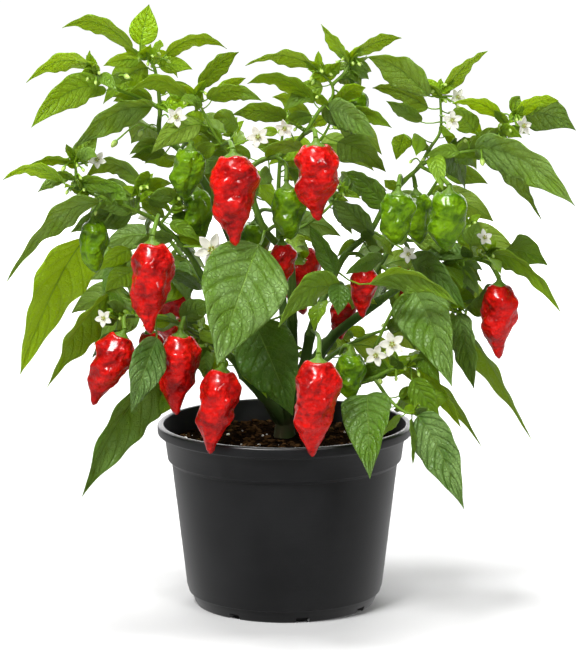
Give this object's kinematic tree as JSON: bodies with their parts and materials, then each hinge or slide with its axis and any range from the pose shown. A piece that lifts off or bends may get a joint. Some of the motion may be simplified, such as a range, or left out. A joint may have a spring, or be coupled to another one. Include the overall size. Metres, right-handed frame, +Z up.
{
  "type": "potted chilli pepper plant",
  "caption": "Bushy chilli pepper plant with wrinkled ripe and green pods, small white flowers and large pointed leaves, in a round black nursery pot of soil.",
  "frame": {"origin": "the middle of the flat underside of the pot, on the surface that the pot stands on", "axes": "+Z up along the pot's axis, -Y towards the side that the plant is seen from, +X to that viewer's right"},
  "size_m": [0.3733, 0.2409, 0.4007],
  "materials": {
    "pot_plastic": "satin",
    "potting_soil": "matte",
    "woody_stem": "matte",
    "leaf_green": "satin",
    "ripe_pod": "gloss",
    "green_pod": "gloss",
    "petal": "matte"
  },
  "bodies": {
    "root": {"flower_1": "petal", "flower_10": "petal", "flower_11": "petal", "flower_12": "petal", "flower_13": "petal", "flower_14": "petal", "flower_15": "petal", "flower_2": "petal", "flower_3": "petal", "flower_4": "petal", "flower_5": "petal", "flower_6": "petal", "flower_7": "petal", "flower_8": "petal", "flower_9": "petal", "green_pod_1": "green_pod", "green_pod_10": "green_pod", "green_pod_2": "green_pod", "green_pod_3": "green_pod", "green_pod_4": "green_pod", "green_pod_5": "green_pod", "green_pod_6": "green_pod", "green_pod_7": "green_pod", "green_pod_8": "green_pod", "green_pod_9": "green_pod", "leafy_stem_back_left": "leaf_green", "leafy_stem_back_low": "leaf_green", "leafy_stem_back_middle": "leaf_green", "leafy_stem_back_right": "leaf_green", "leafy_stem_low_left": "leaf_green", "leafy_stem_low_right": "leaf_green", "leafy_stem_middle": "leaf_green", "leafy_stem_right_middle": "leaf_green", "leafy_stem_top_left": "leaf_green", "leafy_stem_top_right": "leaf_green", "leafy_stem_upper_left": "leaf_green", "pot": "pot_plastic", "red_pod_1": "ripe_pod", "red_pod_10": "ripe_pod", "red_pod_11": "ripe_pod", "red_pod_12": "ripe_pod", "red_pod_13": "ripe_pod", "red_pod_14": "ripe_pod", "red_pod_15": "ripe_pod", "red_pod_2": "ripe_pod", "red_pod_3": "ripe_pod", "red_pod_4": "ripe_pod", "red_pod_5": "ripe_pod", "red_pod_6": "ripe_pod", "red_pod_7": "ripe_pod", "red_pod_8": "ripe_pod", "red_pod_9": "ripe_pod", "soil": "potting_soil", "trunk": "woody_stem"}
  },
  "joints": []
}
